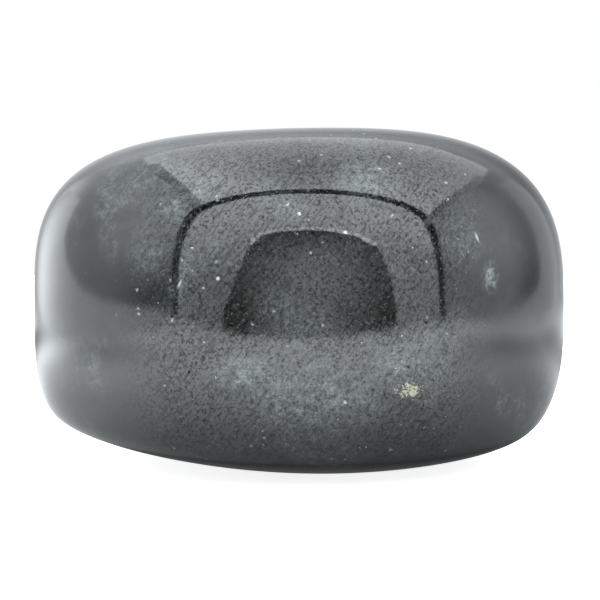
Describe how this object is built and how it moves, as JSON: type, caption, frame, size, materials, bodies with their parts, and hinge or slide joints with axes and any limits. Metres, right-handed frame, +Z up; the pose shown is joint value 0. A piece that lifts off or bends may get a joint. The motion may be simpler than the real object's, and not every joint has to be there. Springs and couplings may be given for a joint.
{
  "type": "massage stone",
  "caption": "Polished palm-sized massage stone of dark grey-green rock: a one-piece pillow shape, oval in plan, with a crowned top, full sides and a shallow belly with a small facet to rest on",
  "frame": {"origin": "On the surface that the stone rests on, under the middle of its bounding box", "axes": "+X along the stone's length, +Y across its depth, +Z up through its height, with the resting facet facing -Z"},
  "size_m": [0.072, 0.06, 0.0458],
  "materials": {
    "stone": "polished"
  },
  "bodies": {
    "root": {"stone": "stone"}
  },
  "joints": []
}
